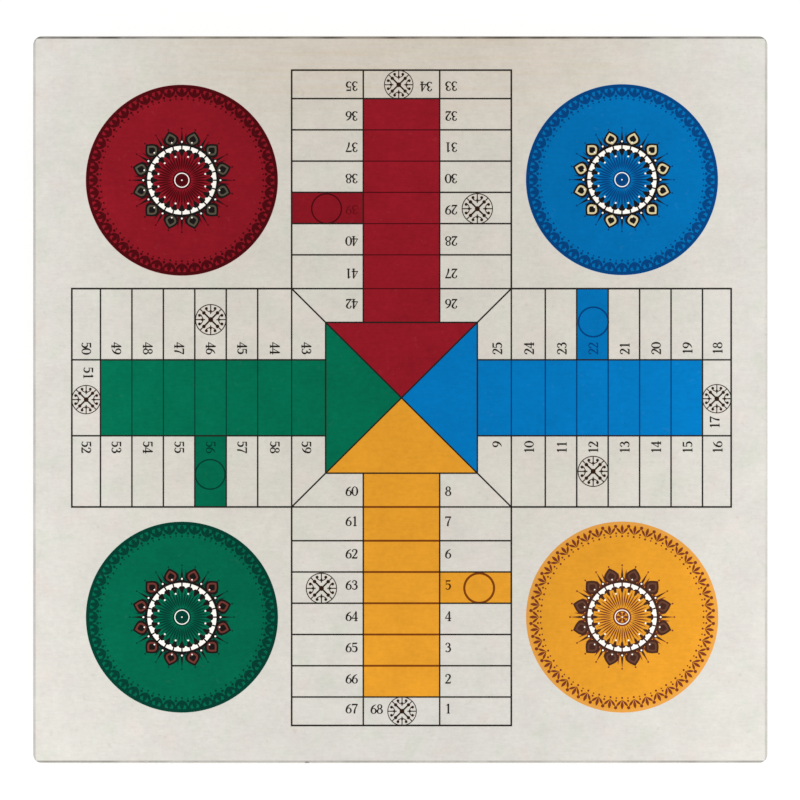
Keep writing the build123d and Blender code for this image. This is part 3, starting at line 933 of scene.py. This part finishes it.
def oval(x, y, half_width, half_height, thin, thick, steps=24):
    """A closed oval stroke, thick at its sides and thin at top and bottom."""
    points = []
    for i in range(steps + 1):
        a = tau * i / steps
        width = thin + (thick - thin) * cos(a) ** 2
        points.append((x + half_width * cos(a), y + half_height * sin(a), width))
    return straight(*points)


six = curved(
    (0.55, 0.945, 0.04), (0.36, 0.85, 0.085), (0.17, 0.63, 0.125), (0.09, 0.33, 0.13),
)
six += oval(0.33, 0.30, 0.24, 0.272, 0.05, 0.125)
figures = {
    "0": oval(0.33, 0.5, 0.265, 0.465, 0.05, 0.14),
    "1": straight((0.17, 0.83, 0.04), (0.33, 0.95, 0.09))
    + straight((0.35, 0.94, 0.125), (0.35, 0.04, 0.125))
    + straight((0.19, 0.025, 0.05), (0.51, 0.025, 0.05)),
    "2": curved(
        (0.09, 0.76, 0.10), (0.14, 0.90, 0.06), (0.30, 0.965, 0.06), (0.50, 0.85, 0.12),
        (0.51, 0.66, 0.13), (0.34, 0.38, 0.09), (0.08, 0.06, 0.05),
    )
    + straight((0.08, 0.055, 0.11), (0.52, 0.055, 0.11), (0.60, 0.20, 0.03))
    + [disc(0.11, 0.76, 0.07)],
    "3": curved(
        (0.10, 0.81, 0.08), (0.18, 0.94, 0.06), (0.33, 0.965, 0.06), (0.48, 0.83, 0.12),
        (0.45, 0.64, 0.10), (0.25, 0.545, 0.045),
    )
    + curved(
        (0.25, 0.545, 0.045), (0.46, 0.49, 0.10), (0.55, 0.30, 0.135), (0.45, 0.10, 0.10),
        (0.27, 0.035, 0.06), (0.10, 0.10, 0.07),
    )
    + [disc(0.12, 0.80, 0.065), disc(0.11, 0.13, 0.065)],
    "4": straight((0.44, 0.97, 0.05), (0.04, 0.29, 0.05))
    + straight((0.04, 0.28, 0.07), (0.62, 0.28, 0.07))
    + straight((0.45, 0.95, 0.125), (0.45, 0.04, 0.125))
    + straight((0.30, 0.025, 0.05), (0.60, 0.025, 0.05)),
    "5": straight((0.14, 0.93, 0.11), (0.50, 0.93, 0.11), (0.57, 0.99, 0.03))
    + straight((0.13, 0.95, 0.05), (0.11, 0.55, 0.05))
    + curved(
        (0.11, 0.55, 0.045), (0.28, 0.61, 0.07), (0.47, 0.54, 0.12), (0.54, 0.33, 0.135),
        (0.45, 0.12, 0.11), (0.27, 0.035, 0.06), (0.10, 0.10, 0.06),
    )
    + [disc(0.11, 0.12, 0.06)],
    "6": six,
    "7": straight((0.08, 0.93, 0.11), (0.58, 0.93, 0.11))
    + straight((0.08, 0.96, 0.04), (0.05, 0.77, 0.03))
    + curved(
        (0.60, 0.93, 0.05), (0.43, 0.62, 0.08), (0.32, 0.32, 0.115), (0.29, 0.05, 0.13),
    ),
    "8": oval(0.33, 0.755, 0.195, 0.212, 0.05, 0.11) + oval(0.33, 0.27, 0.245, 0.242, 0.05, 0.125),
    "9": moved(six, 0.66, 1.0, pi),
}
figure_patches = {sign: joined(outlines) for sign, outlines in figures.items()}


def number_patch(number, side):
    """A number about a place at half its height: side -1 ends it there, 1 starts it there
    and 0 centres it."""
    signs = str(number)
    width = digit_height * figure_width + digit_advance * (len(signs) - 1)
    left = {-1: -width, 0: -width / 2, 1: 0.0}[side]
    return gathered([
        placed(figure_patches[sign], left + i * digit_advance, -digit_height / 2, 0.0, digit_height)
        for i, sign in enumerate(signs)
    ])


def arm_numbers(arm):
    """The numbers of one arm: those on paper, and the one on its start cell."""
    rows = len(cell_depths)
    last = cells_per_arm * arm
    on_paper = []
    on_start = []
    for row, (near, far) in enumerate(zip(cell_edges, cell_edges[1:])):
        y = -(near + far) / 2 - (number_shift[arm] if row else first_number_shift[arm])
        counted = (last - rows + row - 1) % numbers_round_board + 1
        on_paper.append(placed(number_patch(counted, -1), -lane_half - number_gap, y))
        right = placed(number_patch(last + rows - row, 1), lane_half + number_gap, y)
        (on_start if row == start_row else on_paper).append(right)
    end_number = (last - 1) % numbers_round_board + 1
    end_x, end_shift = end_number_place
    on_paper.append(placed(number_patch(end_number, 0), end_x, end_row_y + end_shift))
    return [placed(gathered(patches), 0.0, 0.0, arm * pi / 2) for patches in (on_paper, on_start)]


def home_rim():
    """The dark outline of a round home."""
    return ring(home_radius - 1.9, home_radius - 0.15, 160)


def home_ornament(weight=1.0):
    """A round home's ornament, as outlines in four inks: a border of sprigs, a lace of fine
    leaves, twelve leaves about a notched white ring, and a rayed middle. The border and the
    rays are drawn lighter with a lower weight."""
    border = home_radius - 4.4
    shade = []
    dark = []
    leaves = []
    white = []
    sprigs = 44
    for a in angles(sprigs):
        x, y = ray(border - 2.6, a)
        for lean, length, width in ((0.0, 5.4, 2.3), (0.72, 4.9, 1.8), (-0.72, 4.9, 1.8)):
            shade.append(turned(leaf(0.0, length, width * weight, lean, 0.6, 6), a, x, y))
        b = a + tau / sprigs / 2
        shade.append(disc(*ray(border + 1.9, b), 1.3 * weight, 10))
        shade.append(disc(*ray(border - 1.9, b), 0.8 * weight, 8))
        shade.append(disc(*ray(border - 3.6, a), 0.6, 8))
        shade.append(disc(*ray(border - 3.4, b), 0.45, 8))
    for i, a in enumerate(angles(72)):
        far = (28.4, 24.4, 26.4)[i % 3]
        shade.append(leaf(18.5, far, 1.0, a, 0.4, 6))
        if i % 3 == 0:
            shade.append(disc(*ray(far, a), 0.5, 8))
    for a, b in zip(angles(12, 0.5), angles(12)):
        dark.append(leaf(18.2, 27.7, 8.2, a, 0.48, 12))
        hollow = leaf(20.5, 25.8, 4.8, a, 0.45, 10)
        leaves += pen_stroke([(x, y, 1.0) for x, y in hollow + hollow[:1]], 6)
        white.append(disc(*ray(21.2, a), 0.42, 12))
        dark.append(disc(*ray(20.7, b), 1.35, 14))
        dark.append(leaf(20.7, 26.0, 1.2, b, 0.4, 6))
        white.append(disc(*ray(21.0, b), 0.52, 12))
    dark += ring(15.7, 20.2, 120)
    gap = 0.022
    for a, b in zip(angles(24), angles(24, 1.0)):
        white += arc_band(17.0, 18.8, a + gap, b - gap, 5)
        white.append(turned([(15.9, 0.0), (17.1, -1.2), (17.1, 1.2)], (a + b) / 2))
        dark.append(leaf(12.4, 17.4, 2.3 * weight, a, 0.6, 8))
    for i, a in enumerate(angles(48)):
        shade.append(leaf((4.6, 5.6)[i % 2], 14.9, 1.0 * weight, a, 0.5, 6))
    white += [disc(*ray(13.2, a), 0.5, 12) for a in angles(12, 0.5)]
    shade += ring(3.0, 5.0, 64)
    white += ring(3.6, 4.1, 64)
    white.append(disc(0.0, 0.0, 0.4, 12))
    shade += [leaf(0.2, 3.4, 3.0 * weight ** 2, a, 0.6, 6) for a in angles(6)]
    return shade, dark, leaves, white


def print_board():
    """Lays every ink of the print on the sheet."""
    light_weight = 0.72
    full_home = [joined(outlines) for outlines in home_ornament()]
    light_home = [joined(outlines) for outlines in home_ornament(light_weight)]
    rim = joined(home_rim())
    paper_numbers = []
    for arm, name in enumerate(arm_colours):
        x, y = home_places[name]
        home = light_home if name == "yellow" else full_home
        shade, dark, leaves, white = [placed(patch, x, y) for patch in home]
        on_paper, on_start = arm_numbers(arm)
        paper_numbers.append(on_paper)
        own_slot = f"{name}_ink"
        field_ink, home_ink, start_ink = (field_inks[name, part] for part in field_parts)
        field = joined(field_outlines(arm))
        ink_film(f"{name}_field", field, "field", field_ink, own_slot, f"print_{name}")
        home_field = joined([disc(x, y, home_radius, 180)])
        for part, patch, layer, ink, slot in (
            ("start_field", joined(start_outlines(arm)), "field", start_ink, own_slot),
            ("home_field", home_field, "field", home_ink, own_slot),
            ("lane_lines", joined(shade_line_outlines(arm)), "shade", shade_inks[name], own_slot),
            ("start_number", on_start, "shade", number_inks[name], own_slot),
            ("ornament", shade, "shade", ornament_inks[name], own_slot),
            ("home_rim", placed(rim, x, y), "rim", rim_inks[name], own_slot),
            ("medallion_dark", dark, "dark", medallion_inks[name], "line_ink"),
            ("medallion_leaves", leaves, "leaves", leaf_inks[name], own_slot),
            ("medallion_white", white, "white", white_ink, "line_ink"),
        ):
            ink_film(f"{name}_{part}", patch, layer, ink, slot)
    lines = joined([points for arm in range(4) for points in paper_line_outlines(arm)])
    ink_film("board_lines", lines, "lines", line_ink, "line_ink", "print_lines")
    ink_film("board_numbers", gathered(paper_numbers), "lines", line_ink, "line_ink")
    side_wheel = joined(wheel_outlines(side_wheel_radius))
    end_wheel = joined(wheel_outlines(end_wheel_radius))
    wheels = []
    for arm in range(4):
        for wheel, middle in ((side_wheel, side_wheels[arm]), (end_wheel, end_wheels[arm])):
            wheels.append(placed(placed(wheel, *middle), 0.0, 0.0, arm * pi / 2))
    ink_film("safe_cell_wheels", gathered(wheels), "wheels", wheel_brown, "line_ink")


# ---- What is in the box ----


def turn_counters():
    """Four turned counters of each colour, with a dished top and a bead at its middle."""
    edge = 0.9
    rim = 1.6
    dish_depth = 0.7
    for name, finish in counter_finishes.items():
        low, high = frame_box(f"counters_{name}")
        radius = (high.x - low.x) / 2
        x = (low.x + high.x) / 2
        spacing = (high.y - low.y - 2 * radius) / 3
        centres = [(x, low.y + radius + i * spacing) for i in range(4)]
        dish = high.z - dish_depth
        profile = [(0.0, low.z)]
        profile += quarter(radius - edge, low.z + edge, edge, -90, 0)
        profile += quarter(radius - edge, high.z - edge, edge, 0, 90)
        profile += quarter(radius - rim, dish + 0.5, 0.4, 90, 160, 3)
        profile += [(radius - rim - 0.7, dish + 0.05), (radius - rim - 1.1, dish)]
        profile += [(2.6, dish), (2.3, dish - 0.25), (2.0, dish)]
        profile += [(1.4, dish + 0.18), (0.7, dish + 0.3), (0.0, dish + 0.34)]
        piece = lathe(f"{name}_turned_counters", profile, centres, finish)
        fitted(piece, f"{name}_counter", "tray", f"counters_{name}")


# Where the spots of a die's face lie, in shares of the spacing from its middle.
spot_places = {
    1: [(0, 0)],
    2: [(-1, -1), (1, 1)],
    3: [(-1, -1), (0, 0), (1, 1)],
    4: [(-1, -1), (1, -1), (-1, 1), (1, 1)],
    5: [(-1, -1), (1, -1), (0, 0), (-1, 1), (1, 1)],
    6: [(-1, -1), (-1, 0), (-1, 1), (1, -1), (1, 0), (1, 1)],
}


def mesh_of(name, shape):
    """A mesh made from a bmesh shape, which is then freed."""
    mesh = bpy.data.meshes.new(name)
    shape.to_mesh(mesh)
    shape.free()
    return mesh


def cut_dice():
    """Ivory dice with rounded edges and drilled, painted spots."""
    low, high = frame_box("dice")
    size = high.z - low.z
    count = 4
    spacing = (high.x - low.x - size) / (count - 1)
    edge = 1.5
    spot_spacing = 3.6
    spot_radius = 1.75
    spot_sink = 0.75
    faces = {1: (0, 0, 1), 6: (0, 0, -1), 2: (1, 0, 0), 5: (-1, 0, 0), 3: (0, 1, 0), 4: (0, -1, 0)}

    body = bmesh.new()
    bmesh.ops.create_cube(body, size=size)
    bmesh.ops.bevel(body, geom=body.edges[:], offset=edge, segments=5, profile=0.5, affect="EDGES")
    drills = bmesh.new()
    for spots, outward in faces.items():
        towards = Vector(outward)
        side = Vector((outward[1], outward[2], outward[0]))
        other = towards.cross(side)
        for u, v in spot_places[spots]:
            centre = towards * (size / 2 + spot_radius - spot_sink)
            centre += (side * u + other * v) * spot_spacing
            place = Matrix.Translation(centre)
            bmesh.ops.create_icosphere(drills, subdivisions=3, radius=spot_radius, matrix=place)
    for face in drills.faces:
        face.material_index = 1

    blank = new_object("die_blank", mesh_of("die_blank", body))
    cutter = new_object("die_drills", mesh_of("die_drills", drills))
    for item in (blank, cutter):
        item.data.materials.append(die_finish)
        item.data.materials.append(pip_finish)
    cut = blank.modifiers.new("spots", "BOOLEAN")
    cut.operation = "DIFFERENCE"
    cut.solver = "EXACT"
    cut.object = cutter
    bpy.context.view_layer.update()
    depsgraph = bpy.context.evaluated_depsgraph_get()
    drilled = bpy.data.meshes.new_from_object(blank.evaluated_get(depsgraph))
    bpy.data.objects.remove(blank)
    bpy.data.objects.remove(cutter)

    tumbles = ((0, 0, 0), (90, 0, 90), (0, 90, 180), (180, 90, 0))
    together = bmesh.new()
    for i, tumble in enumerate(tumbles):
        one = bmesh.new()
        one.from_mesh(drilled)
        pose = Matrix.Identity(3)
        for angle, axis in zip(tumble, "XYZ"):
            pose = Matrix.Rotation(radians(angle), 3, axis) @ pose
        place = Vector((low.x + size / 2 + i * spacing, (low.y + high.y) / 2, (low.z + high.z) / 2))
        for corner in one.verts:
            corner.co = (pose @ corner.co + place) * MM
        together.from_mesh(mesh_of("tumbled_die", one))
    mesh = mesh_of("spotted_dice", together)
    mesh.materials.append(die_finish)
    mesh.materials.append(pip_finish)
    soften(mesh, sharp_angle=32)
    fitted(new_object("spotted_dice", mesh), "dice_plastic", "tray", "dice")


# ---- Felt ----


def felt_lines(low, high, roll, spacing):
    """Where the lines of a felt pad's mesh lie along one side, closer at its edges."""
    count = max(4, ceil((high - low) / spacing))
    inner = [low + roll + (high - low - 2 * roll) * i / count for i in range(1, count)]
    return [low, low + 0.3 * roll, low + roll] + inner + [high - roll, high - 0.3 * roll, high]


def felt_pad(low, high, roll, spacing, seed, unevenness):
    """Points and faces of a cut felt pad: rolled-over edges and a slightly uneven top."""
    draw = random.Random(seed)
    xs = felt_lines(low.x, high.x, roll, spacing)
    ys = felt_lines(low.y, high.y, roll, spacing)
    wide = len(xs)
    top = []
    for j, y in enumerate(ys):
        for i, x in enumerate(xs):
            border = min(i, j, wide - 1 - i, len(ys) - 1 - j)
            drop = (0.55 * roll, 0.16 * roll, 0.0)[min(border, 2)]
            top.append((x, y, high.z - drop - unevenness * draw.random()))
    bottom = [(x, y, low.z) for x, y, _ in top]
    corners = [j * wide + i for j in range(len(ys) - 1) for i in range(wide - 1)]
    return slab(top, bottom, [(a, a + 1, a + wide + 1, a + wide) for a in corners])


def bays(lining, axis, *dividers):
    """The stretches of a lining along an axis, from end to end, that dividers leave clear."""
    margin = 0.3
    ends = [lining[0][axis]]
    for divider in dividers:
        low, high = frame_box(divider)
        ends += [low[axis] - margin, high[axis] + margin]
    ends.append(lining[1][axis])
    return list(zip(ends[::2], ends[1::2]))


def line_tray():
    """A felt pad in each of the nine compartments."""
    low, high = frame_box("tray_lining")
    columns = bays((low, high), 0, "left_divider", "right_divider")
    rows = bays((low, high), 1, "front_divider", "back_divider")
    pads = []
    for row, (y0, y1) in enumerate(rows):
        for column, (x0, x1) in enumerate(columns):
            pads.append(felt_pad(
                Vector((x0, y0, low.z)), Vector((x1, y1, high.z)),
                roll=0.6, spacing=7.0, seed=10 * row + column, unevenness=0.06,
            ))
    piece = new_piece("tray_felt_pads", *gathered(pads), lining_finish, sharp_angle=60)
    fitted(piece, "lining_felt", "tray", "tray_lining")
    felt_area = sum((x1 - x0) * (y1 - y0) for x0, x1 in columns for y0, y1 in rows) * MM ** 2


def line_lid():
    """The felt sheet on the lid's inside."""
    low, high = frame_box("lid_lining")
    upside_low = Vector((low.x, -high.y, -high.z))
    upside_high = Vector((high.x, -low.y, -low.z))
    points, faces = felt_pad(
        upside_low, upside_high, roll=0.5, spacing=12.0, seed=77, unevenness=0.05,
    )
    points = [(x, -y, -z) for x, y, z in points]
    piece = new_piece("lid_felt_sheet", points, faces, lining_finish, sharp_angle=60)
    fitted(piece, "lining_felt", "lid", "lid_lining")


def stick_feet():
    """Four felt discs under the corners."""
    low, high = frame_box("feet")
    radius = 9.0
    xs = (low.x + radius, high.x - radius)
    ys = (low.y + radius, high.y - radius)
    profile = [(0.0, low.z)]
    profile += quarter(radius - 0.7, low.z + 0.6, 0.6, -90, -10, 5)
    profile += [(radius, low.z + 1.0), (radius - 0.15, high.z), (0.0, high.z)]
    piece = lathe("felt_feet", profile, [(x, y) for x in xs for y in ys], foot_finish)
    fitted(piece, "foot_felt", "tray", "feet")


# ---- Finishes for the frame's own nodes ----


finished_nodes = (
    (beech_across, ("tray_front_wall", "tray_back_wall", "lid_front_rail", "lid_back_rail")),
    (beech_deep, ("tray_left_wall", "tray_right_wall", "lid_left_rail", "lid_right_rail")),
    (divider_across, ("front_divider", "back_divider")),
    (divider_deep, ("left_divider", "right_divider")),
    (plywood_finish, ("tray_bottom",)),
    (fibreboard_finish, ("board_core",)),
    (board_paper_finish, ("board_face",)),
    (screw_finish, ("tray_hinge_screws", "lid_hinge_screws", "hook_pivot_screws")),
)


def finish_nodes():
    """Gives each node that stays its finish, and rolled brass to the other fittings."""
    finishes = {name: finish for finish, names in finished_nodes for name in names}
    for name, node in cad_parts.items():
        for place in node.material_slots:
            place.material = finishes.get(name, brass_finish)


# ---- Floor, light and camera ----


def seen_rays(tree):
    """1 where a ray shows a surface, straight, mirrored or through glass, and 0 for light."""
    rays = add_node(tree, "LightPath")
    seen = maths("MAXIMUM", rays["Is Camera Ray"], rays["Is Glossy Ray"])
    return maths("MAXIMUM", seen, rays["Is Transmission Ray"])


def lay_floor():
    """A plain pale floor that shows white and keeps the object's shadow."""
    half = 3.0
    mesh = bpy.data.meshes.new("floor")
    corners = [(x, y, 0.0) for x, y in box_outline(-half, -half, half, half)]
    mesh.from_pydata(corners, [], [(0, 1, 2, 3)])
    material = bpy.data.materials.new("floor_finish")
    material.use_nodes = True
    tree = material.node_tree
    tree.nodes.clear()
    plain = add_node(tree, "BsdfDiffuse", {"Color": (0.8, 0.8, 0.8, 1.0)})[0]
    shaded = add_node(tree, "BsdfDiffuse", {"Color": (0.9, 0.9, 0.9, 1.0)})[0]
    glow = add_node(tree, "Emission", {"Strength": 1.085})[0]
    shown = add_node(tree, "MixShader", {0: 0.85, 1: shaded, 2: glow})[0]
    chosen = add_node(tree, "MixShader", {0: seen_rays(tree), 1: plain, 2: shown})[0]
    add_node(tree, "OutputMaterial", {"Surface": chosen})
    mesh.materials.append(material)
    new_object("floor", mesh)


def light_world():
    """An even studio: soft grey light, and white where it is seen or mirrored."""
    world = bpy.data.worlds.new("studio")
    world.use_nodes = True
    tree = world.node_tree
    tree.nodes.clear()
    white = (1.0, 1.0, 1.0, 1.0)
    soft = add_node(tree, "Background", {"Color": white, "Strength": 0.62})[0]
    bright = add_node(tree, "Background", {"Color": white, "Strength": 1.0})[0]
    chosen = add_node(tree, "MixShader", {0: seen_rays(tree), 1: soft, 2: bright})[0]
    add_node(tree, "OutputWorld", {"Surface": chosen})
    bpy.context.scene.world = world


def hang_lamp(name, place, size, power):
    """A soft square lamp that points at the box."""
    data = bpy.data.lights.new(name, "AREA")
    data.shape = "SQUARE"
    data.size = size
    data.energy = power
    lamp = new_object(name, data)
    lamp.location = place
    lamp.rotation_euler = (-Vector(place)).to_track_quat("-Z", "Y").to_euler()


def set_camera():
    """A long lens straight above the board. The board's width and the place of its middle in
    the picture are in pixels of an 800 x 800 picture."""
    picture = 800.0
    board_pixels = 734.6
    board_middle = (400.3, 399.65)
    sensor = 36.0
    distance = 2.2
    metres_per_pixel = (face_high.x - face_low.x) * MM / board_pixels
    data = bpy.data.cameras.new("above_board")
    data.sensor_width = sensor
    data.lens = sensor * distance / (picture * metres_per_pixel)
    data.clip_end = 20.0
    camera = new_object("above_board", data)
    off_x = (picture / 2 - board_middle[0]) * metres_per_pixel
    off_y = (board_middle[1] - picture / 2) * metres_per_pixel
    camera.location = (off_x, off_y, sheet_top * MM + distance)
    bpy.context.scene.camera = camera


finish_nodes()
print_board()
turn_counters()
cut_dice()
line_tray()
line_lid()
stick_feet()
lay_floor()
light_world()
hang_lamp("front_softbox", place=(0.1, -1.05, 1.1), size=0.9, power=9.7)
hang_lamp("back_softbox", place=(0.5, 1.0, 1.5), size=0.9, power=4.0)
set_camera()
bpy.context.scene.view_settings.view_transform = "Standard"
